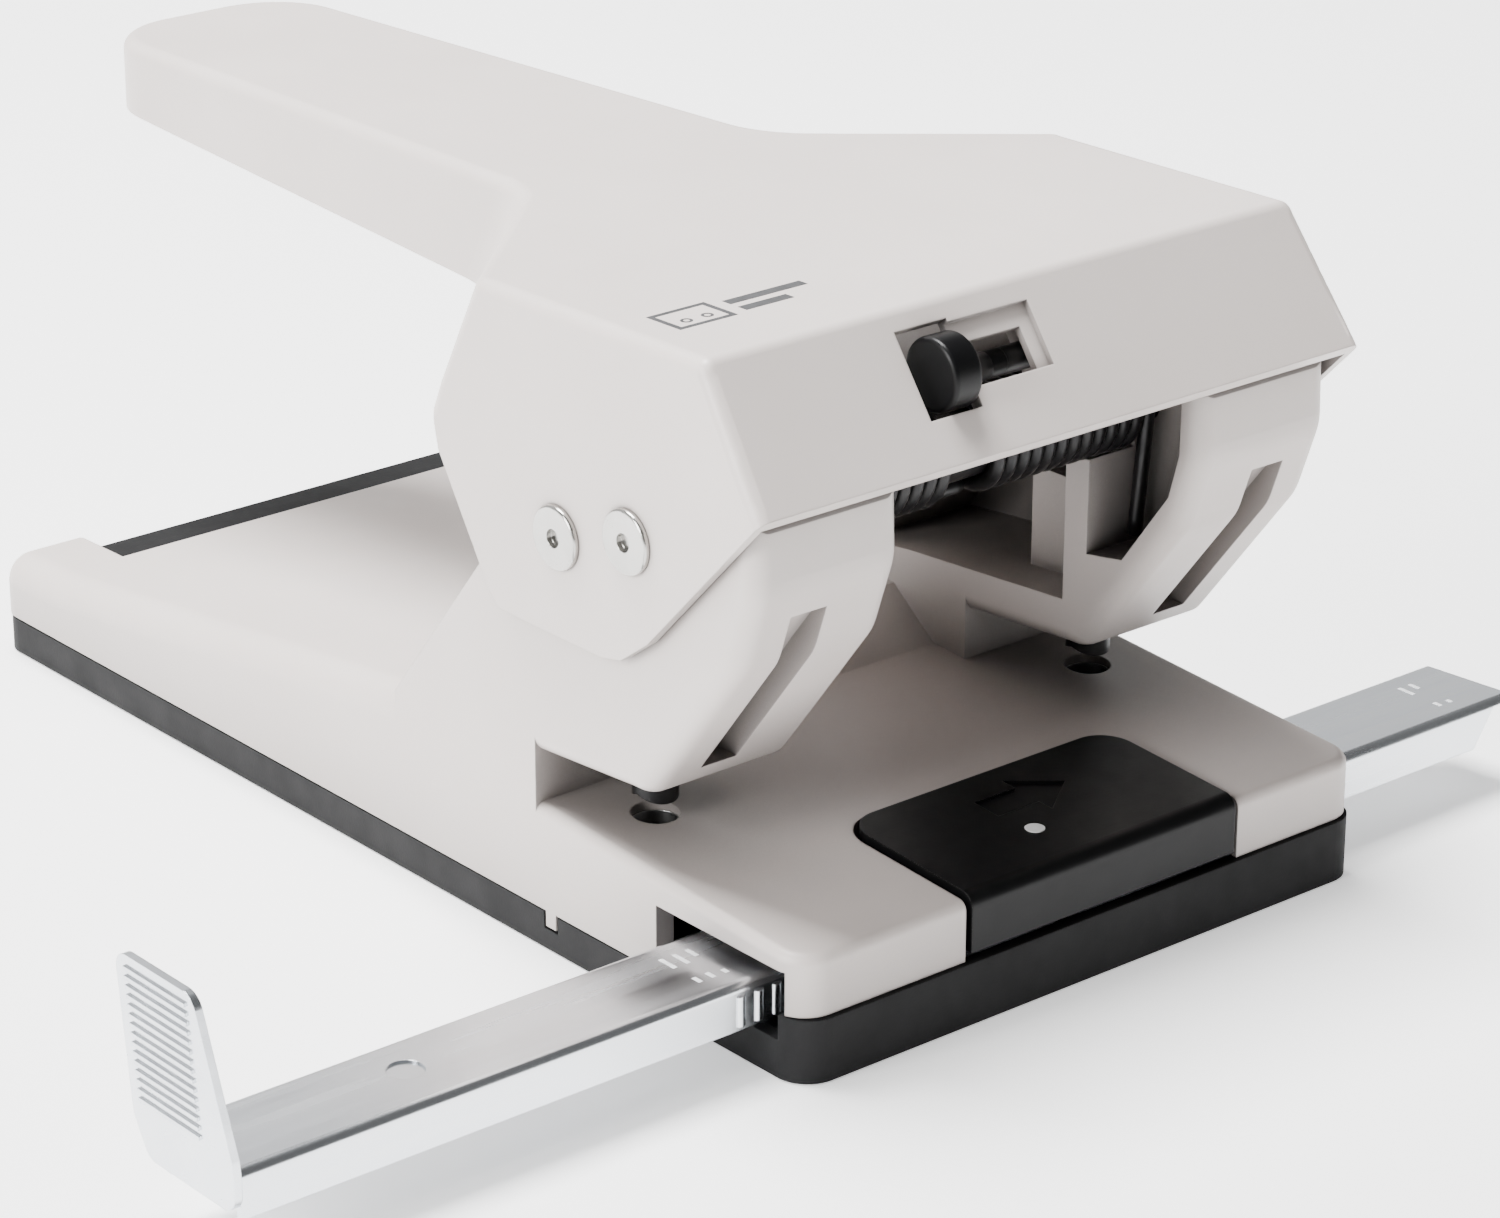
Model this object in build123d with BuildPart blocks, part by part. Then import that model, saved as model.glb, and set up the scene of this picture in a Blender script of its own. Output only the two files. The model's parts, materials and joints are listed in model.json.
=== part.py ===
from build123d import *
from math import asin, cos, radians, sin
import os

os.makedirs("parts", exist_ok=True)

# Two-hole desk punch, in millimetres. X runs to the right seen from the front, Y runs back
# towards the handle end, Z is up. The origin is on the table, under the middle of the line
# that joins the two punches.

# ---- driving dimensions -------------------------------------------------------------------------
hole_spacing = 80.0            # centre to centre, the standard two-hole filing distance
hole_dia = 6.4                 # diameter of a punch
paper_stop = 11.5              # from the hole line to the back of the throat
pin_bottom = 22.9              # lower end of a punch at rest

body_half = 51.5               # half the width of the base
body_front = -43.6
body_rear = 149.0              # rear face of the two corner lobes
recess_rear = 139.8            # rear face of the body between the lobes
recess_half = 38.0
deck_front_z = 18.0
deck_slope = 0.056             # rise of the deck per millimetre towards the back
skirt_z = 5.7                  # lower edge of the side skirts
front_skirt_z = 9.3            # lower edge of the front skirt
wall = 3.0
top_wall = 2.6

arm_inner = 26.5               # inner face of an arm
arm_wall = 4.0                 # outer wall of an arm
arm_top = 74.0
column = 12.0                  # square column that guides a punch inside an arm
column_top = 51.0

pivot_y, pivot_z = -11.5, 66.6       # lever pivot
drive_y, drive_z = 3.2, 62.7         # drive shaft, above the punches
shaft_dia = 7.0
head_dia = 9.0
head_rise = 0.8
run_clear = 0.05               # radial clearance of a running shaft

lever_half = 53.5
plate = 1.6                    # sheet of the lever's side plates
skin = 2.0                     # sheet of the lever's top, bevel and handle
lever_front = -24.6            # top front edge of the lever
lever_front_z = 94.2
lever_fall = 0.027             # fall of the top per millimetre towards the handle end
head_rear = 21.0               # where the full-width head ends, at the level of the top
head_rear_rake = 0.43          # lean of the head's rear sides, backwards going down, per millimetre
handle_start = 49.0
handle_end = 166.5
handle_start_half, handle_end_half = 21.9, 18.3
taper_run = 27.5               # the tapered rear sides run this far back for each taper_in inwards
taper_in = 29.5
press_angle = 20.0             # travel of the lever, degrees

bar_back, bar_front = -20.0, -36.0   # edges of the guide bar
bar_top, bar_bottom = 13.5, 6.8
bar_left, bar_right = -132.5, 91.5
bar_sheet = 1.0

tray_front, tray_rear = -44.2, 149.4
tray_floor = 2.0
tray_wall = 2.0
tray_side_z = 5.5
tray_front_z = 9.1
tray_lip_z = 11.6

key_left, key_right = -22.2, 26.4    # side edges of the release key
key_back, key_front = -18.2, -43.9
key_gap = 0.8                  # gap around the release key
key_rise = 0.8                 # height of the release key above the deck
key_low = 10.4                 # lower edge of the release key's front
key_pin_y, key_pin_z = -20.4, 15.6
key_pin_r = 1.2
key_lug = 4.0                  # width of the lugs that hold the hinge pin

saddle_x = 39.0
saddle_width = 13.0
saddle_sheet = 1.2
saddle_screw_y = -15.0
saddle_foot_z = 15.2
screw_r = 1.25
tray_key_y = (7.4, 9.6)        # lug of the base that sits in a notch of the chip tray
tray_key_z = 3.4

die_dia = 12.0
die_height = 5.0
die_clear, die_relief, die_land = 0.06, 0.8, 2.0     # cutting clearance, relief below the cutting land
bush_dia = 10.0
bush_low, bush_top = 30.4, 39.0
coil_outer, coil_wire = 14.6, 2.2
coil_inner_x, coil_outer_x = 3.0, 34.0
sleeve_r = coil_outer / 2 - coil_wire - 0.15

pin_x = hole_spacing / 2
pin_r = hole_dia / 2
drive_radius = ((drive_y - pivot_y) ** 2 + (drive_z - pivot_z) ** 2) ** 0.5
drive_angle = asin((pivot_z - drive_z) / drive_radius)
stroke = drive_radius * (sin(drive_angle + radians(press_angle)) - sin(drive_angle))
drive_back = drive_radius * (cos(drive_angle) - cos(drive_angle + radians(press_angle)))


def deck_z(y):
    """Height of the deck surface at y."""
    return deck_front_z + deck_slope * (y - body_front)


def lever_z(y):
    """Height of the lever's top surface at y."""
    return lever_front_z - lever_fall * (y - lever_front)


def prism(points, x_low, x_high, mode=Mode.ADD):
    """A side profile of (y, z) points, drawn out between two values of x."""
    with BuildSketch(Plane.YZ.offset(x_low)) as profile:
        Polygon(*points, align=None)
    extrude(profile.sketch, amount=x_high - x_low, mode=mode)


def block(low, high, mode=Mode.ADD):
    """A box between two opposite corners."""
    middle = tuple((a + b) / 2 for a, b in zip(low, high))
    with Locations(middle):
        Box(*[b - a for a, b in zip(low, high)], mode=mode)


def rod_x(y, z, radius, x_low, x_high, mode=Mode.ADD):
    """A round rod along X."""
    with BuildSketch(Plane.YZ.offset(x_low)) as section:
        with Locations((y, z)):
            Circle(radius)
    extrude(section.sketch, amount=x_high - x_low, mode=mode)


def rod_z(x, y, radius, z_low, z_high, mode=Mode.ADD):
    """A round rod along Z."""
    with BuildSketch(Plane.XY.offset(z_low)) as section:
        with Locations((x, y)):
            Circle(radius)
    extrude(section.sketch, amount=z_high - z_low, mode=mode)


def save(part, name):
    """Label one finished piece and write it."""
    part.label = name
    export_step(part, f"parts/{name}.step")


# ---- arm: one hollow C-shaped arm, drawn for the right-hand side --------------------------------
throat_z = 28.4                # underside at the back of the throat
nose = (-12.3, 30.2)
lean_top = (-30.4, 53.6)       # where the slanted front turns upright
front_top = (-34.2, 64.6)
brow = (-33.9, 73.2)           # top of the arm's front wall, behind the lever's bevel
brow_top = (-31.0, 77.4)
brow_back = (-27.0, 77.4)
rear_foot = (43.5, 27.0)
rear_head = (8.2, 71.0)
arm_section = [
    (paper_stop, throat_z), nose, lean_top, front_top, brow, brow_top, brow_back, (-24.0, arm_top),
    (4.0, arm_top), rear_head, rear_foot, (rear_foot[0], 19.5), (paper_stop, 19.5),
]
big_pocket = [
    (-8.5, 41.0), (-8.5, 36.8), (23.5, 34.3), (34.0, 33.0), (10.0, 63.0), (-2.0, 68.0), (-8.5, 68.0),
]
spring_pocket = [
    (-13.0, 45.0), (-20.0, 46.2), (-28.6, 58.0), (-30.4, 64.6), (-30.4, 73.0), (-28.0, 80.0), (-13.0, 80.0),
]
spring_pocket_x = 36.6
front_bend = 9.0               # bending radius of the arm's front
groove_low, groove_high = 33.4, 60.4
groove_x = (38.2, 44.2)        # decorative groove down the front of the arm
groove_depth = 4.4
shaft_slot = (drive_y - drive_back - shaft_dia / 2 - 0.6, drive_y + shaft_dia / 2 + 0.6)
shaft_slot_z = (drive_z - stroke - shaft_dia / 2 - 0.6, drive_z + shaft_dia / 2 + 0.6)

with BuildPart() as arm:
    prism(arm_section, arm_inner, body_half)
    fillet(arm.edges().filter_by(Axis.X).filter_by(
        lambda e: e.center().Y < nose[0] - 5.0 and e.center().Z < brow[1] - 2.0), front_bend)
    soft = arm.edges().filter_by(
        lambda e: e.center().Y < -11.0 and e.center().Z > nose[1] + 2.0
        and abs(e.tangent_at(0.5).X) < 0.1 and e.center().Z < brow[1] - 2.0)
    fillet(soft, 3.0)
    under = arm.edges().filter_by(
        lambda e: abs(e.center().X - arm_inner) < 0.01 and abs(e.center().Z - throat_z) < 1.9
        and abs(e.tangent_at(0.5).Y) > 0.9 and e.center().Y < paper_stop)
    fillet(under, 2.6)
    prism(big_pocket, arm_inner - 1, body_half - arm_wall, Mode.SUBTRACT)
    prism(spring_pocket, arm_inner - 1, spring_pocket_x, Mode.SUBTRACT)
    # pocket opened to the top so that the lever's cross shafts can be dropped in
    block((arm_inner - 1, -8.5, 60.0), (body_half - arm_wall, 11.0, arm_top + 1), Mode.SUBTRACT)
    rod_x(pivot_y, pivot_z, coil_outer / 2 + 0.5, arm_inner - 1, coil_outer_x + 1.0, Mode.SUBTRACT)
    rod_x(pivot_y, pivot_z, sleeve_r + 0.1, arm_inner - 1, body_half - arm_wall, Mode.SUBTRACT)
    block((pin_x - column / 2, -column / 2, 33.0), (body_half - arm_wall + 0.5, column / 2, column_top))
    # decorative groove that follows the slanted front
    prism(
        [(nose[0] - 3.4, groove_low), (lean_top[0] - 2.2, lean_top[1] - 2.0), (-36.0, groove_high),
         (front_top[0] + 3.2, groove_high), (lean_top[0] + groove_depth, lean_top[1] + 0.5),
         (nose[0] + 1.6, groove_low)],
        groove_x[0], groove_x[1], Mode.SUBTRACT)
    # bores: punch guide bush, clearance below it, and the guide bore in the column
    rod_z(pin_x, 0, bush_dia / 2, bush_low, bush_top, Mode.SUBTRACT)
    rod_z(pin_x, 0, pin_r + 0.5, 25.0, column_top + 1, Mode.SUBTRACT)
    rod_x(pivot_y, pivot_z, shaft_dia / 2, arm_inner - 1, body_half + 1, Mode.SUBTRACT)
    with BuildSketch(Plane.YZ.offset(body_half - arm_wall - 1)):
        with Locations((sum(shaft_slot) / 2, sum(shaft_slot_z) / 2)):
            RectangleRounded(shaft_slot[1] - shaft_slot[0], shaft_slot_z[1] - shaft_slot_z[0], 3.0)
    extrude(amount=arm_wall + 2, mode=Mode.SUBTRACT)

# ---- base body ----------------------------------------------------------------------------------
ramp_knee = (134.0, 15.6)
ramp_end_z = 15.2
lobe_round = 4.2               # rounding over the back of the lobes
recess_edge_z = 12.4           # top of the body's rear face between the lobes
opening_back = -14.3           # rear edge of the guide opening in the side skirts
opening_top = 15.4
post_back = -40.2
die_top = deck_z(0) - 1.2       # the deck's skin covers the top of a die
base_section = [
    (body_front, skirt_z), (body_front, deck_front_z), (18.0, deck_z(18.0)), (27.0, 28.2),
    rear_foot, ramp_knee, (body_rear, ramp_end_z), (body_rear, skirt_z),
]
hollow_section = [
    (body_front + wall, 0.0), (body_front + wall, deck_z(body_front + wall) - top_wall),
    (19.0, deck_z(19.0) - top_wall), (28.0, 25.2), (rear_foot[0], 24.2),
    (ramp_knee[0], ramp_knee[1] - 3.2), (recess_rear - wall, 9.2), (recess_rear - wall, 0.0),
]
lug_half, lug_low_z, lug_top_z = 2.6, 13.9, 18.0
key_corner = 5.0               # radius of the release key's back corners
window_run = 60.0              # the window runs out through the front skirt
lugs = ((key_left - key_gap - key_lug, key_left - key_gap),
        (key_right + key_gap, key_right + key_gap + key_lug))

with BuildPart() as base_body:
    prism(base_section, -body_half, body_half)
    fillet(base_body.edges().filter_by(Axis.X).filter_by(
        lambda e: e.center().Y > body_rear - 0.1 and e.center().Z > skirt_z + 1), lobe_round)
    fillet(base_body.edges().filter_by(Axis.Z).group_by(Axis.Y)[0], 5.0)
    fillet(base_body.edges().filter_by(Axis.Z).group_by(Axis.Y)[-1], 4.5)
    rims = base_body.edges().filter_by(
        lambda e: e.center().Z > 9.0 and abs(e.center().X) > body_half - 6.1
        and not (abs(e.tangent_at(0.5).X) > 0.95 and -40.0 < e.center().Y < 140.0))
    fillet(rims.filter_by(lambda e: e.center().Y < 10.0 or e.center().Y > 50.0), 1.5)
    prism(hollow_section, -body_half + wall, body_half - wall, Mode.SUBTRACT)
    add(arm.part)
    add(arm.part.mirror(Plane.YZ))
    # recess between the rear lobes for the lip of the chip tray
    block((-recess_half, recess_rear, 0), (recess_half, body_rear + 5, 40), Mode.SUBTRACT)
    prism([ramp_knee, (recess_rear + 0.1, recess_edge_z), (recess_rear + 0.1, ramp_knee[1] + 1),
           (ramp_knee[0], ramp_knee[1] + 1)], -recess_half, recess_half, Mode.SUBTRACT)
    # guide openings in both side skirts, open at the bottom, and the raised front skirt
    block((-body_half - 1, post_back, 0), (body_half + 1, opening_back, opening_top), Mode.SUBTRACT)
    block((-body_half - 1, body_front - 1, 0), (body_half + 1, opening_back, front_skirt_z), Mode.SUBTRACT)
    # window for the release key
    with BuildSketch(Plane.XY) as window:
        with Locations(((key_left + key_right) / 2, key_back + key_gap - window_run / 2)):
            RectangleRounded(key_right - key_left + 2 * key_gap, window_run, key_corner + key_gap)
    extrude(window.sketch, amount=30, mode=Mode.SUBTRACT)
    # lugs that hold the hinge pin of the release key
    for low, high in lugs:
        block((low, key_pin_y - lug_half, lug_low_z), (high, key_pin_y + lug_half, lug_top_z))
        rod_x(key_pin_y, key_pin_z, key_pin_r, low - 0.1, high + 0.1, Mode.SUBTRACT)
    # bosses that hold the dies from below, and the holes through the deck above them
    for side in (-1, 1):
        rod_z(side * pin_x, 0, die_dia / 2 + 2.0, die_top - die_height, die_top + 0.5)
        rod_z(side * pin_x, 0, die_dia / 2, die_top - die_height - 1, die_top, Mode.SUBTRACT)
        rod_z(side * pin_x, 0, pin_r + 0.2, die_top - 1, deck_z(0) + 1, Mode.SUBTRACT)
    # bosses for the screws that hold the guide saddle
    for x in (-saddle_x, saddle_x):
        rod_z(x, saddle_screw_y, 3.2, saddle_foot_z, deck_z(saddle_screw_y) - 1.0)
        rod_z(x, saddle_screw_y, screw_r, saddle_foot_z - 1, saddle_foot_z + 2.4, Mode.SUBTRACT)
    # lugs under the side skirts that key the chip tray
    for side in (-1, 1):
        low, high = sorted((side * (body_half - tray_wall), side * body_half))
        block((low, tray_key_y[0], tray_key_z), (high, tray_key_y[1], skirt_z + 1.0))
save(base_body.part, "base_body")

# ---- dies and punch guides ----------------------------------------------------------------------
for side, name in ((-1, "left"), (1, "right")):
    with BuildPart() as punch_die:
        rod_z(side * pin_x, 0, die_dia / 2, die_top - die_height, die_top)
        rod_z(side * pin_x, 0, pin_r + die_clear, die_top - die_height - 1, die_top + 1, Mode.SUBTRACT)
        rod_z(side * pin_x, 0, pin_r + die_relief, die_top - die_height - 1, die_top - die_land, Mode.SUBTRACT)
    save(punch_die.part, f"punch_die_{name}")

    with BuildPart() as guide_bush:
        rod_z(side * pin_x, 0, bush_dia / 2, bush_low, bush_top)
        rod_z(side * pin_x, 0, pin_r + run_clear, bush_low - 1, bush_top + 1, Mode.SUBTRACT)
        chamfer(guide_bush.edges().filter_by(GeomType.CIRCLE).sort_by(Axis.Z)[-1], 0.6)
    save(guide_bush.part, f"punch_bush_{name}")

    # punch: ground pin with a slotted yoke that the drive shaft passes through
    yoke_x = 4.2
    yoke_low, yoke_high = drive_z - 6.2, drive_z + 6.0
    yoke_front, yoke_back = drive_y - drive_back - 7.2, drive_y + 7.0
    slot_play = 0.18
    with BuildPart() as punch:
        rod_z(side * pin_x, 0, pin_r, pin_bottom, yoke_low + 1)
        block((side * pin_x - yoke_x, yoke_front, yoke_low), (side * pin_x + yoke_x, yoke_back, yoke_high))
        fillet(punch.edges().filter_by(Axis.X), 1.5)
        with BuildSketch(Plane.YZ.offset(side * pin_x - yoke_x - 1)) as slot:
            with Locations((drive_y - drive_back / 2, drive_z)):
                SlotOverall(drive_back + shaft_dia + 1.2, shaft_dia + 2 * slot_play)
        extrude(slot.sketch, amount=2 * yoke_x + 2, mode=Mode.SUBTRACT)
        # hollow ground cutting end, a shallow V across the pin
        prism([(-6.0, pin_bottom - 1), (0.0, pin_bottom + 1.1), (6.0, pin_bottom - 1)],
              side * pin_x - 6, side * pin_x + 6, Mode.SUBTRACT)
    save(punch.part, f"punch_{name}")

# ---- pivot shaft, drive shaft and their tubes ---------------------------------------------------
head_in = lever_half + 0.1
for y, z, name in ((pivot_y, pivot_z, "pivot_shaft"), (drive_y, drive_z, "drive_shaft")):
    with BuildPart() as shaft:
        rod_x(y, z, shaft_dia / 2, -head_in, head_in)
        for low, high in ((-head_in - head_rise, -head_in), (head_in, head_in + head_rise)):
            rod_x(y, z, head_dia / 2, low, high)
        ends = shaft.edges().filter_by(GeomType.CIRCLE).group_by(Axis.X)
        fillet(ends[0] + ends[-1], 0.45)
        for low, high in ((-head_in - head_rise - 1, -head_in), (head_in, head_in + head_rise + 1)):
            rod_x(y, z, 1.3, low, high, Mode.SUBTRACT)
    save(shaft.part, name)

tube_half = pin_x - yoke_x - 0.3
with BuildPart() as drive_tube:
    rod_x(drive_y, drive_z, shaft_dia / 2 + 1.2, -tube_half, tube_half)
    rod_x(drive_y, drive_z, shaft_dia / 2, -tube_half - 1, tube_half + 1, Mode.SUBTRACT)
save(drive_tube.part, "drive_shaft_tube")

sleeve_half = body_half - arm_wall - 0.2
with BuildPart() as spring_sleeve:
    rod_x(pivot_y, pivot_z, sleeve_r, -sleeve_half, sleeve_half)
    rod_x(pivot_y, pivot_z, shaft_dia / 2, -sleeve_half - 1, sleeve_half + 1, Mode.SUBTRACT)
save(spring_sleeve.part, "spring_sleeve")

# ---- double torsion spring: two close-wound coils, a bridge between them and a leg at each end --
coil_mid = coil_outer / 2 - coil_wire / 2
leg_x = coil_outer_x - coil_wire / 2
leg_foot = (-15.9, 46.4)
leg_r = coil_wire / 2 - 0.1
with BuildPart() as torsion_spring:
    for side in (-1, 1):
        low, high = sorted((side * coil_inner_x, side * coil_outer_x))
        rod_x(pivot_y, pivot_z, coil_outer / 2, low, high)
        rod_x(pivot_y, pivot_z, coil_outer / 2 - coil_wire, low - 1, high + 1, Mode.SUBTRACT)
    for side in (-1, 1):
        start = Vector(side * leg_x, pivot_y - coil_mid, pivot_z)
        end = Vector(side * leg_x, *leg_foot)
        with BuildSketch(Plane(origin=start, z_dir=end - start)) as wire:
            Circle(leg_r)
        extrude(wire.sketch, amount=(end - start).length)
    bridge_z = pivot_z - coil_mid
    rod_x(pivot_y, bridge_z, leg_r, -coil_inner_x - 1.5, coil_inner_x + 1.5)
save(torsion_spring.part, "torsion_spring")

# ---- lever: folded sheet shell with six-sided cheeks and a long hollow handle -------------------
bevel_low = (-37.6, 76.6)
bevel_run = ((bevel_low[0] - lever_front) ** 2 + (bevel_low[1] - lever_front_z) ** 2) ** 0.5
bevel_dir = ((bevel_low[0] - lever_front) / bevel_run, (bevel_low[1] - lever_front_z) / bevel_run)
bevel_in = (-bevel_dir[1], bevel_dir[0])       # unit normal of the bevel, pointing into the lever
handle_low_start, handle_low_end = 75.2, 78.3
plan_low_z, plan_high_z = 45.0, 97.0
cheek_taper = 0.08             # the cheeks lean inwards above the bevel's lower edge, per millimetre
plan_radii = (2.5, 16.0, 13.0)  # rear of the head, neck, handle end


def head_plan(z):
    """Outline of the lever in plan at height z: the right half, then its mirror image."""
    half = lever_half - cheek_taper * max(z - bevel_low[1], 0.0)
    rear = head_rear + head_rear_rake * (lever_front_z - z)
    handle_rate = (handle_start_half - handle_end_half) / (handle_end - handle_start)
    inward_rate = taper_in / taper_run
    neck_y = (half + inward_rate * rear - handle_start_half - handle_rate * handle_start) / (
        inward_rate - handle_rate)
    neck_x = handle_start_half - handle_rate * (neck_y - handle_start)
    right = [(half, bevel_low[0]), (half, rear), (neck_x, neck_y), (handle_end_half, handle_end)]
    return right + [(-x, y) for x, y in reversed(right)]


def plan_face(z, inset):
    """The lever's outline at height z with its corners rounded, moved inwards by inset."""
    outline = head_plan(z)
    with BuildSketch(Plane.XY.offset(z)) as plan:
        Polygon(*outline, align=None)
        for corner, radius in zip(outline[1:4], plan_radii):
            pair = [v for v in plan.vertices()
                    if abs(v.Y - corner[1]) < 0.1 and abs(abs(v.X) - corner[0]) < 0.1]
            fillet(pair, radius)
        if inset:
            offset(amount=-inset, kind=Kind.INTERSECTION)
    return plan.sketch


side_view = [
    (lever_front, lever_front_z), bevel_low, (-15.2, 53.4), (-9.7, 49.4), (-5.4, 48.5), (16.6, 48.5),
    (18.4, 50.4), (29.2, 67.4), (30.4, 72.6), (38.0, 74.0), (66.0, handle_low_start),
    (handle_end, handle_low_end), (handle_end + 3, handle_low_end), (handle_end + 3, lever_z(handle_end + 3)),
]


def on_bevel(z, depth=0.0):
    """(y, z) of a point at height z on the bevel, moved into the lever by depth."""
    along = (z - lever_front_z) / bevel_dir[1]
    return (lever_front + bevel_dir[0] * along + bevel_in[0] * depth,
            z + bevel_in[1] * depth)


def bevel_cut(heights, across, depth):
    """Cut a box into the bevel between two heights and two values of x."""
    low, high = heights
    prism([on_bevel(high, -1.0), on_bevel(low, -1.0), on_bevel(low, depth), on_bevel(high, depth)],
          across[0], across[1], Mode.SUBTRACT)


window_x = (-21.8, -1.2)       # window in the bevel: a tall end for the lock knob, a low end for its stem
window_step = -12.9
knob_window_z = (81.8, 91.8)
stem_window_z = (84.0, 89.0)
frame_right, frame_top = 1.0, 91.4   # shallow recess above and beside the low end
frame_depth = 0.9
lock_line_z = sum(stem_window_z) / 2
lock_depth = 4.2               # depth of the lock rod's axis behind the bevel
lock_y, lock_z = on_bevel(lock_line_z, lock_depth)
lock_rod_r = 1.9
lock_lug_r = 3.4
lock_lug_x = ((2.0, 4.5), (14.0, 16.5))
web_half, web_y, web_low_z = 24.5, -3.0, 68.8     # stiffening web inside the head

# inside of the shell: the head and the handle as one space, open at the bottom
with BuildPart() as core:
    loft([plan_face(z, plate) for z in (plan_low_z, bevel_low[1], plan_high_z)], ruled=True)
    with BuildSketch(Plane.YZ.offset(-60)) as inner_side:
        Polygon(
            on_bevel(lever_front_z, skin), on_bevel(bevel_low[1], skin), on_bevel(bevel_low[1], -0.02),
            (-60.0, 60.0), (-60.0, 20.0), (handle_end, 20.0), (handle_end, lever_z(handle_end) - skin),
            align=None)
    extrude(inner_side.sketch, amount=120, mode=Mode.INTERSECT)

with BuildPart() as lever:
    loft([plan_face(z, 0) for z in (plan_low_z, bevel_low[1], plan_high_z)], ruled=True)
    with BuildSketch(Plane.YZ.offset(-60)) as side:
        Polygon(*side_view, align=None)
    extrude(side.sketch, amount=120, mode=Mode.INTERSECT)
    crown = lever.edges().filter_by(
        lambda e: abs(e.center().Z - lever_z(e.center().Y)) < 0.05 and e.center().Y > lever_front + 1)
    fillet(crown, 2.0)
    fold = lever.edges().filter_by(
        lambda e: abs(e.center().X) > lever_half - 2.0 and e.center().Z > bevel_low[1]
        and bevel_low[0] < e.center().Y < lever_front)
    fillet(fold, 1.8)
    add(core.part, mode=Mode.SUBTRACT)
    # cross web between the arms
    block((-web_half, web_y, web_low_z), (web_half, web_y + plate, lever_z(web_y) - 0.5))
    # window of the lock knob and the two lugs that carry the lock rod
    bevel_cut(knob_window_z, (window_x[0], window_step), skin + 1.0)
    bevel_cut(stem_window_z, (window_step - 0.5, window_x[1]), skin + 1.0)
    bevel_cut((stem_window_z[0], frame_top), (window_step - 0.5, frame_right), frame_depth)
    for low, high in lock_lug_x:
        prism([on_bevel(lock_line_z + lock_lug_r, skin - 0.5), on_bevel(lock_line_z - lock_lug_r, skin - 0.5),
               on_bevel(lock_line_z - lock_lug_r, lock_depth + lock_lug_r),
               on_bevel(lock_line_z + lock_lug_r, lock_depth + lock_lug_r)], low, high)
        rod_x(lock_y, lock_z, lock_rod_r + run_clear, low - 1, high + 1, Mode.SUBTRACT)
    # holes in the cheeks: running on the pivot, tight on the drive shaft
    rod_x(pivot_y, pivot_z, shaft_dia / 2 + run_clear, -lever_half - 1, lever_half + 1, Mode.SUBTRACT)
    rod_x(drive_y, drive_z, shaft_dia / 2, -lever_half - 1, lever_half + 1, Mode.SUBTRACT)
save(lever.part, "lever")

# ---- lock: a round knob with a tapered stem, and the rod it pushes ------------------------------
knob_r = 5.1
knob_x = (-18.6, -13.8)
stem_end_x = -6.6
stem_tip_x = -4.0
spigot_r, spigot_x = 1.0, -9.0
rod_end_x = 22.0
knob_y, knob_z = on_bevel(lock_line_z, 0.6)
stem_y, stem_z = on_bevel(lock_line_z, 0.8)
with BuildPart() as lock_knob:
    rod_x(knob_y, knob_z, knob_r, knob_x[0], knob_x[1])
    fillet(lock_knob.edges().filter_by(GeomType.CIRCLE), 0.7)
    with BuildSketch(Plane.YZ.offset(knob_x[1] - 0.4)) as thick_end:
        with Locations((stem_y, stem_z)):
            Circle(2.75)
    with BuildSketch(Plane.YZ.offset(stem_end_x)) as thin_end:
        with Locations((lock_y, lock_z)):
            Circle(lock_rod_r)
    loft([thick_end.sketch, thin_end.sketch])
    rod_x(lock_y, lock_z, lock_rod_r, stem_end_x, stem_tip_x)
    rod_x(lock_y, lock_z, spigot_r, spigot_x, stem_tip_x + 1, Mode.SUBTRACT)
save(lock_knob.part, "lock_knob")

with BuildPart() as lock_rod:
    rod_x(lock_y, lock_z, lock_rod_r, stem_tip_x, rod_end_x)
    rod_x(lock_y, lock_z, spigot_r, spigot_x, stem_tip_x)
    chamfer(lock_rod.edges().filter_by(GeomType.CIRCLE).group_by(Axis.X)[-1], 0.5)
save(lock_rod.part, "lock_rod")

# ---- guide bar: an inverted channel that slides through the base --------------------------------
bar_end_back = 89.7            # right-hand end at the rear edge of the bar
leg_end_top, leg_end_low = 87.6, 83.2
rib_half, rib_rise = 0.7, 0.4
detent_x = (-55.0, -52.0, -49.0)
rivet_x, rivet_y, rivet_r = -102.0, -27.6, 2.5
with BuildPart() as guide_bar:
    block((bar_left, bar_front, bar_bottom), (bar_right, bar_back, bar_top))
    fillet(guide_bar.edges().filter_by(Axis.X).group_by(Axis.Z)[-1], 1.3)
    block((bar_left - 1, bar_front + bar_sheet, bar_bottom - 1),
          (bar_right + 1, bar_back - bar_sheet, bar_top - bar_sheet), Mode.SUBTRACT)
    with BuildSketch(Plane.XY) as end_cut:
        Polygon((bar_right, bar_front), (bar_right + 2, bar_front), (bar_right + 2, bar_back),
                (bar_end_back, bar_back), align=None)
    extrude(end_cut.sketch, amount=20, mode=Mode.SUBTRACT)
    with BuildSketch(Plane.XZ.offset(-bar_back)) as leg_cut:
        Polygon((leg_end_top, bar_top - bar_sheet), (bar_right + 2, bar_top - bar_sheet),
                (bar_right + 2, bar_bottom - 1), (leg_end_low, bar_bottom - 1), align=None)
    extrude(leg_cut.sketch, amount=bar_back - bar_front, mode=Mode.SUBTRACT)
    for x in detent_x:
        with BuildSketch(Plane.XY.offset(bar_bottom + 0.6)) as rib:
            with Locations((x, bar_front)):
                Ellipse(rib_half, rib_rise)
        extrude(rib.sketch, amount=bar_top - bar_bottom - 2.4)
    block((detent_x[0] - 2, bar_front + bar_sheet, bar_bottom),
          (detent_x[-1] + 2, bar_front + bar_sheet + 1, bar_top - bar_sheet), Mode.SUBTRACT)
    rod_z(rivet_x, rivet_y, rivet_r, bar_bottom, bar_top + 1, Mode.SUBTRACT)
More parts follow.
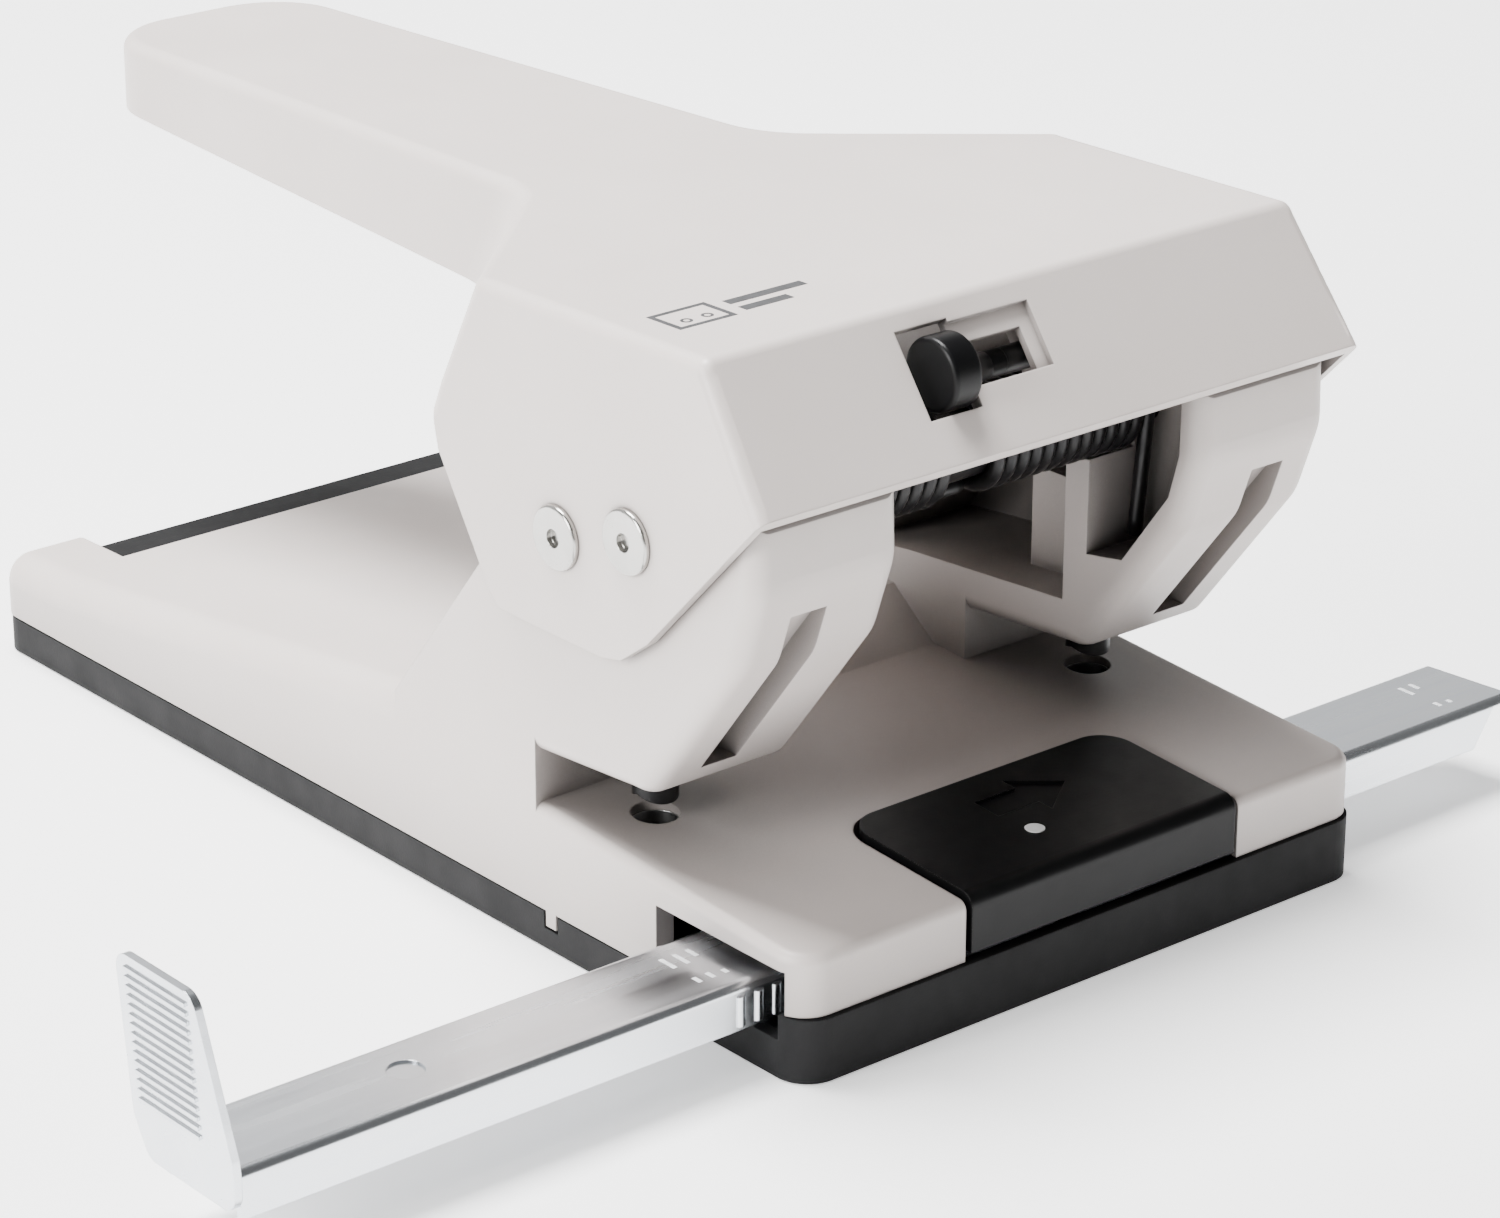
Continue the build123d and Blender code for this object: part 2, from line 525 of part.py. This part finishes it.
save(guide_bar.part, "guide_bar")

# ---- guide stop: an upright plate with a long foot riveted inside the bar ------------------------
stop_sheet = 1.1
stop_low_z, stop_high_z = 8.0, 36.0
stop_lean = 0.07               # outward lean per millimetre of height
foot_top = bar_top - bar_sheet
foot_end = -96.0
stop_shift = stop_lean * (stop_high_z - foot_top)
stop_x = bar_left
stop_back, stop_width = -15.0, 22.5
stop_outline = [
    (-36.5, stop_low_z), (-36.5, 15.0), (-31.5, stop_high_z), (stop_back, stop_high_z), (stop_back, 13.0),
    (-18.0, stop_low_z),
]
grip_ribs, grip_low_z, grip_pitch, grip_y = 15, 16.0, 1.3, -23.5   # fine ribs across the stop's outside
with BuildPart() as guide_stop:
    with BuildSketch(Plane.XZ.offset(-stop_back)) as stop_side:
        Polygon((stop_x, foot_top - stop_sheet), (stop_x, stop_low_z), (stop_x - stop_sheet, stop_low_z),
                (stop_x - stop_sheet, foot_top), (stop_x - stop_sheet - stop_shift, stop_high_z),
                (stop_x - stop_shift, stop_high_z), (stop_x, foot_top), align=None)
    extrude(stop_side.sketch, amount=stop_width)
    with BuildSketch(Plane.YZ.offset(stop_x - 6)) as outline:
        Polygon(*stop_outline, align=None)
        fillet([v for v in outline.vertices() if v.Z > 30.0 or v.Z < 9.0], 2.5)
    extrude(outline.sketch, amount=10, mode=Mode.INTERSECT)
    for k in range(grip_ribs):
        rib_z = grip_low_z + grip_pitch * k
        with Locations((stop_x - stop_sheet - stop_lean * (rib_z - foot_top), grip_y, rib_z)):
            Box(0.6, 13.0, 0.5)
    block((stop_x - stop_sheet / 2, bar_front + bar_sheet + 0.4, foot_top - stop_sheet),
          (foot_end, bar_back - bar_sheet - 0.4, foot_top))
    rod_z(rivet_x, rivet_y, rivet_r / 2, bar_bottom, bar_top, Mode.SUBTRACT)
save(guide_stop.part, "guide_stop")

with BuildPart() as stop_rivet:
    rod_z(rivet_x, rivet_y, rivet_r, foot_top, bar_top - 0.3)
    rod_z(rivet_x, rivet_y, rivet_r / 2, foot_top - stop_sheet, foot_top)
    rod_z(rivet_x, rivet_y, rivet_r - 0.4, foot_top - stop_sheet - 0.6, foot_top - stop_sheet)
save(stop_rivet.part, "stop_rivet")

# ---- saddle that carries the guide bar under the deck --------------------------------------------
bar_gap = 0.2
saddle_top = bar_bottom - bar_gap
saddle_low = saddle_top - saddle_sheet
saddle_half = saddle_x + saddle_width / 2
front_leg = (bar_front - 0.9 - saddle_sheet, bar_front - 0.9)
back_leg = (bar_back + bar_gap, bar_back + bar_gap + saddle_sheet)
with BuildPart() as guide_saddle:
    block((-saddle_half, -41.0, saddle_low), (saddle_half, back_leg[1], saddle_top))
    for x in (-saddle_x, saddle_x):
        for leg, foot in ((front_leg, (-40.3, front_leg[1])), (back_leg, (back_leg[0], -12.0))):
            block((x - saddle_width / 2, leg[0], saddle_low), (x + saddle_width / 2, leg[1], saddle_foot_z))
            block((x - saddle_width / 2, foot[0], saddle_foot_z - saddle_sheet),
                  (x + saddle_width / 2, foot[1], saddle_foot_z))
        rod_z(x, saddle_screw_y, screw_r, saddle_low - 1, saddle_foot_z + 1, Mode.SUBTRACT)
save(guide_saddle.part, "guide_saddle")

with BuildPart() as saddle_screws:
    for x in (-saddle_x, saddle_x):
        rod_z(x, saddle_screw_y, screw_r, saddle_foot_z - saddle_sheet, saddle_foot_z + 2.4)
        rod_z(x, saddle_screw_y, 2.4, saddle_foot_z - saddle_sheet - 1.2, saddle_foot_z - saddle_sheet)
save(saddle_screws.part, "saddle_screws")

# ---- release key of the guide bar: a hinged plate set into the deck ------------------------------
key_sheet = 2.6
key_leg = 2.6
mark_x, mark_y, mark_r, mark_depth = -2.4, -34.5, 1.4, 0.3
arrow_x, arrow_y, arrow_depth = 3.0, -26.6, 0.4
arrow = [(-7.0, -2.4), (0.5, -2.4), (0.5, -5.0), (7.5, 0.0), (0.5, 5.0), (0.5, 2.4), (-7.0, 2.4)]


def key_z(y):
    """Height of the release key's top at y."""
    return deck_z(y) + key_rise


with BuildPart() as guide_release:
    prism([(key_front, key_low), (key_front, key_z(key_front)), (key_back, key_z(key_back)),
           (key_back, key_z(key_back) - key_sheet), (key_front + key_leg, key_z(key_front) - key_sheet),
           (key_front + key_leg, key_low)], key_left, key_right)
    fillet(guide_release.edges().filter_by(Axis.Z).group_by(Axis.Y)[-1], key_corner)
    fillet(guide_release.edges().filter_by(
        lambda e: abs(e.center().Y - key_front) < 0.01 and e.center().Z > key_z(key_front) - 0.1), 2.2)
    block((key_left + 3, key_pin_y - 2.1, 14.0), (key_right - 3, key_pin_y + 2.1, 18.0))
    rod_x(key_pin_y, key_pin_z, key_pin_r + run_clear, key_left - 1, key_right + 1, Mode.SUBTRACT)
    rod_z(mark_x, mark_y, mark_r, key_z(mark_y) - mark_depth, key_z(mark_y) + 1, Mode.SUBTRACT)
    # recessed arrow that shows the way to slide the guide
    key_plane = Plane(origin=(arrow_x, arrow_y, key_z(arrow_y) - arrow_depth), x_dir=(1, 0, 0),
                      z_dir=(0, -deck_slope, 1))
    with BuildSketch(key_plane) as arrow_face:
        Polygon(*arrow, align=None)
    extrude(arrow_face.sketch, amount=3.0, mode=Mode.SUBTRACT)
save(guide_release.part, "guide_release")

with BuildPart() as centre_mark:
    rod_z(mark_x, mark_y, mark_r, key_z(mark_y) - mark_depth, key_z(mark_y) + 0.05)
save(centre_mark.part, "centre_mark")

with BuildPart() as release_pin:
    rod_x(key_pin_y, key_pin_z, key_pin_r, lugs[0][0], lugs[1][1])
save(release_pin.part, "release_pin")

coil_y = -38.9
coil_r, coil_wire_r = 1.8, 0.6
coil_gap = 0.4                 # left for the slope of the key's underside
with BuildPart() as release_spring:
    rod_z(0, coil_y, coil_r, saddle_top, key_z(coil_y) - key_sheet - coil_gap)
    rod_z(0, coil_y, coil_r - coil_wire_r, saddle_top - 1, 20.0, Mode.SUBTRACT)
save(release_spring.part, "release_spring")

# ---- chip tray: a shallow pan that snaps on from below -------------------------------------------
tray_corner = 5.0
lip_half = recess_half - 0.5
lip_front = recess_rear + 0.4
snap_y = ((36.0, 46.0), (96.0, 106.0))
snap_in, snap_gap, snap_top = 1.6, 0.3, 9.5
key_play = 0.4                 # room around the base's lugs in the tray's notches
with BuildSketch(Plane.XY) as tray_plan:
    with Locations((0, (tray_front + body_rear) / 2)):
        RectangleRounded(2 * body_half, body_rear - tray_front, tray_corner)

# taller wall across the front
with BuildPart() as front_rim:
    extrude(tray_plan.sketch, amount=tray_front_z)
    block((-body_half - 1, tray_front + tray_corner, -1), (body_half + 1, body_rear + 1, tray_front_z + 1),
          Mode.SUBTRACT)

with BuildPart() as chip_tray:
    extrude(tray_plan.sketch, amount=tray_side_z)
    add(front_rim.part)
    with BuildSketch(Plane.XY.offset(tray_floor)) as pan:
        with Locations((0, (tray_front + body_rear) / 2)):
            RectangleRounded(2 * (body_half - tray_wall), body_rear - tray_front - 2 * tray_wall,
                             tray_corner - tray_wall)
    extrude(pan.sketch, amount=20, mode=Mode.SUBTRACT)
    # finger lip that fills the recess between the rear lobes
    block((-lip_half, lip_front, 0), (lip_half, tray_rear, tray_lip_z))
    fillet(chip_tray.edges().filter_by(Axis.X).filter_by(
        lambda e: e.center().Z > tray_lip_z - 0.1), 1.2)
    for low, high in snap_y:
        for side in (-1, 1):
            inner, outer = sorted((side * (body_half - wall - snap_in), side * (body_half - wall - snap_gap)))
            block((inner, low, tray_floor - 0.5), (outer, high, snap_top))
    for side in (-1, 1):
        low, high = sorted((side * (body_half - tray_wall - 1), side * (body_half + 1)))
        block((low, tray_key_y[0] - key_play, tray_key_z - key_play),
              (high, tray_key_y[1] + key_play, tray_lip_z + 1), Mode.SUBTRACT)
save(chip_tray.part, "chip_tray")
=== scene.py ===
import json
import math

import bpy
from mathutils import Euler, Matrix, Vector


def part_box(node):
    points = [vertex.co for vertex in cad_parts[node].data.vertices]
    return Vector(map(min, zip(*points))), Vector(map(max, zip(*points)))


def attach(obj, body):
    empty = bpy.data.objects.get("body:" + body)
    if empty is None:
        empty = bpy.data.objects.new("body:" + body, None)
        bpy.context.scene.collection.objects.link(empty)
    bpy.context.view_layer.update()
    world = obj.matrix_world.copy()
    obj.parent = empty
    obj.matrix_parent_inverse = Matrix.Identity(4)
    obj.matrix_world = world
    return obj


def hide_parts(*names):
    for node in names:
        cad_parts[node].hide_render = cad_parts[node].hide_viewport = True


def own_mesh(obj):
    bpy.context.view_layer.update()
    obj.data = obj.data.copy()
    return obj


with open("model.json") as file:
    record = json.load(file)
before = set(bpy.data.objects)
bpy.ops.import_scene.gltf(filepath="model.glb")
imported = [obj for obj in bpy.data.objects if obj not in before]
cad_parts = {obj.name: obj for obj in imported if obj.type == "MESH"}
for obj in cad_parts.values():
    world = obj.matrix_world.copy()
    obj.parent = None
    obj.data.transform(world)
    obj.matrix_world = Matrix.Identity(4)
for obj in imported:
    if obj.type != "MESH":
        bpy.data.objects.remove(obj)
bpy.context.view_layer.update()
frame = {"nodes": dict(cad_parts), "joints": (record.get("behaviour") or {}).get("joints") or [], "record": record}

MM = 0.001
NODES = frame["nodes"]
JOINTS = {joint["name"]: joint for joint in frame["joints"]}


# ---- materials ----------------------------------------------------------------------------------
def socket_values(shader, values):
    """Set the shader's own sockets."""
    for name, value in values.items():
        shader.inputs[name].default_value = value


def node(tree, kind, inputs=None, **settings):
    """Add one node with its settings and unlinked inputs."""
    made = tree.nodes.new(kind)
    for name, value in settings.items():
        setattr(made, name, value)
    for name, value in (inputs or {}).items():
        made.inputs[name].default_value = value
    return made


def object_noise(tree, scale, detail=4.0, roughness=0.55, stretch=(1, 1, 1)):
    """Noise in the frame's own metres, so that its grain has a real size."""
    place = node(tree, "ShaderNodeTexCoord")
    mapping = node(tree, "ShaderNodeMapping", {"Scale": stretch})
    noise = node(tree, "ShaderNodeTexNoise", {"Scale": scale, "Detail": detail, "Roughness": roughness})
    tree.links.new(place.outputs["Object"], mapping.inputs["Vector"])
    tree.links.new(mapping.outputs["Vector"], noise.inputs["Vector"])
    return noise.outputs["Fac"]


def remap(tree, value, low, high, from_low=0.3, from_high=0.7):
    """Spread a value between low and high."""
    made = node(tree, "ShaderNodeMapRange", {
        "From Min": from_low, "From Max": from_high, "To Min": low, "To Max": high})
    tree.links.new(value, made.inputs["Value"])
    return made.outputs["Result"]


def tint(tree, value, first, second):
    """Mix two colours by a value."""
    made = node(tree, "ShaderNodeMix", data_type="RGBA")
    tree.links.new(value, made.inputs["Factor"])
    made.inputs["A"].default_value = (*first, 1.0)
    made.inputs["B"].default_value = (*second, 1.0)
    return made.outputs["Result"]


def bump_chain(tree, layers, edge_radius):
    """Bumps of several grains, each (height value, depth in metres), over softened edges."""
    edge = node(tree, "ShaderNodeBevel", {"Radius": edge_radius}, samples=4)
    normal = edge.outputs["Normal"]
    for height, depth in layers:
        bump = node(tree, "ShaderNodeBump", {"Strength": 1.0, "Distance": depth})
        tree.links.new(height, bump.inputs["Height"])
        tree.links.new(normal, bump.inputs["Normal"])
        normal = bump.outputs["Normal"]
    return normal


def painted_crevice_shade(tree, colour, reach, depth):
    """Darken a colour in crevices and close corners by ambient occlusion: painted shade."""
    corner = node(tree, "ShaderNodeAmbientOcclusion", {"Distance": reach}, samples=8)
    shade = remap(tree, corner.outputs["AO"], depth, 1.0, 0.25, 0.95)
    made = node(tree, "ShaderNodeMix", data_type="RGBA", blend_type="MULTIPLY")
    made.inputs["Factor"].default_value = 1.0
    tree.links.new(colour, made.inputs["A"])
    tree.links.new(shade, made.inputs["B"])
    return made.outputs["Result"]


def new_material(name, colours, colour_scale, rough, rough_scale, grains, edge_radius=0.25 * MM,
                 stretch=(1, 1, 1), crevice=None, **sockets):
    """A Principled material whose colour, roughness and bump vary over the surface."""
    material = bpy.data.materials.new(name)
    material.use_nodes = True
    tree = material.node_tree
    shader = tree.nodes["Principled BSDF"]
    socket_values(shader, sockets)
    blotch = remap(tree, object_noise(tree, colour_scale, stretch=stretch), 0.0, 1.0)
    colour = tint(tree, blotch, *colours)
    # painted shade: the colour is darkened where surfaces close in
    if crevice:
        colour = painted_crevice_shade(tree, colour, *crevice)
    tree.links.new(colour, shader.inputs["Base Color"])
    smudge = remap(tree, object_noise(tree, rough_scale, stretch=stretch), *rough)
    tree.links.new(smudge, shader.inputs["Roughness"])
    layers = [(object_noise(tree, scale, detail=2.0, stretch=stretch), depth) for scale, depth in grains]
    tree.links.new(bump_chain(tree, layers, edge_radius), shader.inputs["Normal"])
    return material


def ivory_paint():
    """Stoved enamel: a fine orange peel, a faint blotch, a soft gloss, and painted shade in its crevices."""
    return new_material(
        "ivory_paint", ((0.556, 0.500, 0.472), (0.588, 0.534, 0.506)), 25.0, (0.36, 0.46), 60.0,
        [(900.0, 0.012 * MM), (4000.0, 0.002 * MM)], 0.35 * MM, crevice=(26.0 * MM, 0.30), IOR=1.5)


def tray_plastic():
    """Dark moulded plastic with a matt spark-eroded grain."""
    return new_material(
        "tray_plastic", ((0.010, 0.010, 0.0105), (0.014, 0.014, 0.0145)), 80.0, (0.55, 0.68), 150.0,
        [(2600.0, 0.02 * MM)], 0.3 * MM, **{"Specular IOR Level": 0.12})


def black_plastic():
    """Black moulded plastic, satin."""
    return new_material(
        "black_plastic", ((0.0018, 0.0018, 0.0021), (0.0030, 0.0030, 0.0034)), 120.0, (0.30, 0.40), 200.0,
        [(1800.0, 0.006 * MM)], 0.3 * MM, **{"Specular IOR Level": 0.18})


def zinc(name, colours, stretch=(1, 1, 1)):
    """Bright zinc plate, with fine scratches and a faint cloud, drawn along its stretch."""
    return new_material(
        name, colours, 90.0, (0.17, 0.30), 260.0,
        [(1500.0, 0.004 * MM)], 0.2 * MM, stretch=stretch, Metallic=1.0)


def black_steel():
    """Blackened spring and punch steel under a film of oil."""
    return new_material(
        "black_steel", ((0.010, 0.010, 0.011), (0.020, 0.019, 0.019)), 300.0, (0.30, 0.45), 500.0,
        [(2500.0, 0.005 * MM)], 0.15 * MM, Metallic=0.6)


def ground_steel():
    """Ground tool steel of the dies, bushes and inner tube."""
    return new_material(
        "ground_steel", ((0.42, 0.42, 0.42), (0.55, 0.55, 0.54)), 200.0, (0.25, 0.40), 400.0,
        [(3000.0, 0.004 * MM)], 0.15 * MM, Metallic=1.0)


def printed_ink(name, first, second):
    """Pad-printed ink, matt, slightly uneven."""
    return new_material(
        name, (first, second), 900.0, (0.5, 0.65), 1200.0,
        [(5000.0, 0.003 * MM)], 0.05 * MM)


MATERIALS = {
    "ivory_paint": ivory_paint(),
    "dark_tray": tray_plastic(),
    "black_plastic": black_plastic(),
    "white_mark": printed_ink("white_mark", (0.70, 0.70, 0.70), (0.78, 0.78, 0.78)),
    "zinc_bar": zinc("zinc_bar", ((0.66, 0.685, 0.72), (0.76, 0.785, 0.815)), stretch=(0.06, 1, 1)),
    "zinc_shaft": zinc("zinc_shaft", ((0.44, 0.43, 0.41), (0.54, 0.53, 0.51))),
    "black_steel": black_steel(),
    "bright_steel": ground_steel(),
    "black_sleeve": black_steel(),
}
GREY_INK = printed_ink("grey_ink", (0.026, 0.026, 0.028), (0.044, 0.044, 0.047))
STAMPED_ZINC = new_material(
    "stamped_zinc", ((0.70, 0.71, 0.72), (0.82, 0.83, 0.84)), 400.0, (0.6, 0.75), 500.0,
    [(2500.0, 0.006 * MM)], 0.05 * MM, Metallic=1.0)
for row in frame["record"]["subparts"]:
    cad_object = NODES[row["node"]]
    cad_object.data.materials.clear()
    cad_object.data.materials.append(MATERIALS[row["material_slot"]])
# the rod behind the knob is given black steel in place of its own finish, so that it shows through the window as a
# dark piece: painted shade
NODES["lock_rod"].data.materials[0] = MATERIALS["black_steel"]


# ---- mesh helpers -------------------------------------------------------------------------------
def mesh_piece(name, vertices, faces, material, body, smooth=False):
    """One new piece that rides on a body."""
    mesh = bpy.data.meshes.new(name)
    mesh.from_pydata([tuple(v) for v in vertices], [], faces)
    mesh.validate()
    if smooth:
        mesh.shade_smooth()
    mesh.materials.append(material)
    piece = bpy.data.objects.new(name, mesh)
    bpy.context.scene.collection.objects.link(piece)
    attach(piece, body)
    return piece


def wire(name, path, radius, material, body, sides=12):
    """A round wire along a path of points, with closed ends."""
    vertices, faces = [], []
    side = Vector((0, 0, 1)).cross(path[1] - path[0])
    side = side.normalized() if side.length > 1e-9 else Vector((1, 0, 0))
    for index, point in enumerate(path):
        ahead = path[min(index + 1, len(path) - 1)] - path[max(index - 1, 0)]
        ahead.normalize()
        side = (side - ahead * side.dot(ahead)).normalized()
        up = ahead.cross(side)
        for k in range(sides):
            turn = 2 * math.pi * k / sides
            vertices.append(point + (side * math.cos(turn) + up * math.sin(turn)) * radius)
    for ring in range(len(path) - 1):
        for k in range(sides):
            a, b = ring * sides + k, ring * sides + (k + 1) % sides
            faces.append((a, b, b + sides, a + sides))
    faces.append(tuple(reversed(range(sides))))
    last = (len(path) - 1) * sides
    faces.append(tuple(range(last, last + sides)))
    return mesh_piece(name, vertices, faces, material, body, smooth=True)


# ---- double torsion spring ----------------------------------------------------------------------
def torsion_spring():
    """Two close-wound coils, the bridge between them, and the leg at each end in its arm pocket."""
    low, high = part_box("torsion_spring")
    wire_radius = 1.1 * MM
    axis = Vector(JOINTS["lever_press"]["pos_m"])
    coil_radius = high.z - axis.z - wire_radius
    inner_x, outer_x = 3.2 * MM, high.x - wire_radius
    bridge_step, leg_end_y = 1.1 * MM, -15.9 * MM
    whole_turns, steps_per_turn, leg_steps = 12, 32, 8
    first, last = -math.pi / 2, math.pi + 2 * math.pi * whole_turns
    steps = int(steps_per_turn * (last - first) / (2 * math.pi))
    half = []
    for k in range(steps + 1):
        share = k / steps
        turn = first + (last - first) * share
        half.append(Vector((inner_x + (outer_x - inner_x) * share,
                            axis.y + coil_radius * math.cos(turn),
                            axis.z + coil_radius * math.sin(turn))))
    foot = Vector((outer_x, leg_end_y, low.z + wire_radius))
    coil_end = half[-1]
    for k in range(1, leg_steps + 1):
        half.append(coil_end.lerp(foot, k / leg_steps))
    bridge = [Vector((k * bridge_step, axis.y, axis.z - coil_radius)) for k in range(3)]
    right = bridge + half
    left = [Vector((-p.x, p.y, p.z)) for p in reversed(right[1:])]
    spring = wire("torsion_spring_wire", left + right, wire_radius,
                  MATERIALS["black_steel"], "base")
    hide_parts("torsion_spring")


def release_spring():
    """The small compression spring under the release key, with closed ends."""
    low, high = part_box("release_spring")
    wire_radius = 0.3 * MM
    centre = (low + high) / 2
    coil_radius = (high.x - low.x) / 2 - wire_radius
    turns, steps_per_turn = 8, 20
    closed_turns = 0.8
    path = []
    for k in range(turns * steps_per_turn + 1):
        share = k / (turns * steps_per_turn)
        eased = min(max((share * turns - closed_turns) / (turns - 2 * closed_turns), 0.0), 1.0)
        height = low.z + wire_radius + eased * (high.z - low.z - 2 * wire_radius)
        turn = 2 * math.pi * turns * share
        path.append(Vector((centre.x + coil_radius * math.cos(turn),
                            centre.y + coil_radius * math.sin(turn), height)))
    spring = wire("release_spring_wire", path, wire_radius,
                  MATERIALS["black_steel"], "base", sides=8)
    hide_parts("release_spring")
    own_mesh(spring)


# ---- printed and stamped marks ------------------------------------------------------------------
def flat_shape(name, outlines, to_frame, thick, material, body):
    """Thin raised shapes: each outline is a list of (u, v) points that to_frame(u, v, height) places."""
    vertices, faces = [], []
    for outline in outlines:
        start, count = len(vertices), len(outline)
        vertices += [to_frame(u, v, 0.0) for u, v in outline]
        vertices += [to_frame(u, v, thick) for u, v in outline]
        faces.append(tuple(range(start + count, start + 2 * count)))
        faces.append(tuple(reversed(range(start, start + count))))
        for k in range(count):
            n = (k + 1) % count
            faces.append((start + k, start + n, start + count + n, start + count + k))
    return mesh_piece(name, vertices, faces, material, body)


def bar_shape(u0, v0, u1, v1):
    """A rectangle outline."""
    return [(u0, v0), (u1, v0), (u1, v1), (u0, v1)]


def ring_segments(u, v, radius, width, count=24):
    """A ring as a chain of four-cornered outlines."""
    out = []
    for k in range(count):
        a, b = 2 * math.pi * k / count, 2 * math.pi * (k + 1) / count
        out.append([(u + r * math.cos(t), v + r * math.sin(t))
                    for r, t in ((radius, a), (radius, b), (radius - width, b), (radius - width, a))])
    return out


def lever_top(x, y):
    """Height of the lever's top at a point of the head."""
    hit, place, *_ = NODES["lever"].ray_cast(Vector((x, y, 1.0)), Vector((0, 0, -1)))
    return place.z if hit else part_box("lever")[1].z


def printed_mark():
    """A generic printed pictogram on the lever: a sheet with its two holes, and two plain bars."""
    left, front = -46.0 * MM, -13.0 * MM
    width, depth, line = 9.5 * MM, 7.0 * MM, 0.8 * MM
    hole_radius, hole_line, hole_row = 0.85 * MM, 0.4 * MM, 0.36 * depth
    bars_start, bar_height = width + 2.0 * MM, 1.8 * MM
    film, lift = 0.02 * MM, 0.005 * MM

    def place(u, v, height):
        x, y = left + u, front + v
        return Vector((x, y, lever_top(x, y) + lift + height))

    shapes = [bar_shape(0, 0, width, line), bar_shape(0, depth - line, width, depth),
              bar_shape(0, line, line, depth - line), bar_shape(width - line, line, width, depth - line)]
    for u in (0.32 * width, 0.68 * width):
        shapes += ring_segments(u, hole_row, hole_radius, hole_line)
    for row, length in ((0.56 * depth, 13.0 * MM), (0.10 * depth, 8.0 * MM)):
        shapes.append(bar_shape(bars_start, row, bars_start + length, row + bar_height))
    flat_shape("printed_mark", shapes, place, film, GREY_INK, "lever")


def guide_marks():
    """Stamped format strokes on the guide bar's top, beside the base: a long and a short row."""
    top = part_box("guide_bar")[1].z
    stroke, pitch = 0.7 * MM, 2.2 * MM
    long_row, short_row, short_share = -24.0 * MM, -32.4 * MM, 0.5
    left_group, right_group = -59.0 * MM, 80.0 * MM
    sink, thick = 0.01 * MM, 0.03 * MM

    def place(u, v, height):
        return Vector((u, v, top - sink + height))

    shapes = []
    for x, lengths in ((left_group, (3.2, 3.2, 2.2)), (right_group, (3.0, 2.0))):
        for k, length in enumerate(lengths):
            u, run = x + pitch * k, length * MM
            shapes.append(bar_shape(u, long_row - run, u + stroke, long_row))
            shapes.append(bar_shape(u, short_row, u + stroke, short_row + short_share * run))
    flat_shape("guide_marks", shapes, place, thick, STAMPED_ZINC, "paper_guide")


torsion_spring()
release_spring()
printed_mark()
guide_marks()


# ---- floor, light and camera --------------------------------------------------------------------
def stage_floor():
    """A wide pale floor that curves up far behind the object."""
    half, steps, radius = 20.0, 24, 7.5
    profile = [(-half, 0.0), (half - radius, 0.0)]
    for k in range(1, steps + 1):
        turn = math.pi / 2 * k / steps
        profile.append((half - radius + radius * math.sin(turn), radius - radius * math.cos(turn)))
    profile.append((half, half))
    drop = -0.2 * MM
    vertices = [(x, y, z + drop) for y, z in profile for x in (-half * 1.5, half * 1.5)]
    faces = [(2 * k, 2 * k + 1, 2 * k + 3, 2 * k + 2) for k in range(len(profile) - 1)]
    mesh = bpy.data.meshes.new("floor")
    mesh.from_pydata(vertices, [], faces)
    mesh.shade_smooth()
    material = bpy.data.materials.new("pale_floor")
    material.use_nodes = True
    shader = material.node_tree.nodes["Principled BSDF"]
    socket_values(shader, {
        "Base Color": (0.92, 0.92, 0.92, 1.0), "Roughness": 0.9, "Specular IOR Level": 0.2,
        "Emission Color": (1.0, 1.0, 1.0, 1.0), "Emission Strength": 0.65})
    mesh.materials.append(material)
    floor = bpy.data.objects.new("floor", mesh)
    bpy.context.scene.collection.objects.link(floor)


def area_light(name, place, target, size, power):
    """A soft square light that points at a target."""
    data = bpy.data.lights.new(name, "AREA")
    data.shape = "SQUARE"
    data.size = size
    data.energy = power
    light = bpy.data.objects.new(name, data)
    light.location = place
    light.rotation_euler = (Vector(target) - Vector(place)).to_track_quat("-Z", "Y").to_euler()
    bpy.context.scene.collection.objects.link(light)


def studio():
    """Even surroundings, a soft key light from the left and a stronger soft light from above and behind."""
    world = bpy.data.worlds.new("studio")
    world.use_nodes = True
    background = world.node_tree.nodes["Background"]
    background.inputs["Color"].default_value = (1.0, 1.0, 1.0, 1.0)
    background.inputs["Strength"].default_value = 0.16
    bpy.context.scene.world = world
    target = (0.0, 0.03, 0.04)
    area_light("key_light", (-1.2, 0.0, 0.55), target, 0.5, 25.0)
    area_light("top_light", (-0.1, 0.42, 1.3), target, 0.6, 68.0)


def camera():
    """The view from the front left, slightly above, through a long lens."""
    data = bpy.data.cameras.new("camera")
    data.sensor_width = 36.0
    data.lens = 116.786
    data.clip_start, data.clip_end = 0.01, 80.0
    made = bpy.data.objects.new("camera", data)
    made.location = (-0.41258, -0.46457, 0.29600)
    made.rotation_euler = Euler((math.radians(67.5567), math.radians(-0.1476), math.radians(-39.8834)))
    bpy.context.scene.collection.objects.link(made)
    bpy.context.scene.camera = made


stage_floor()
studio()
camera()
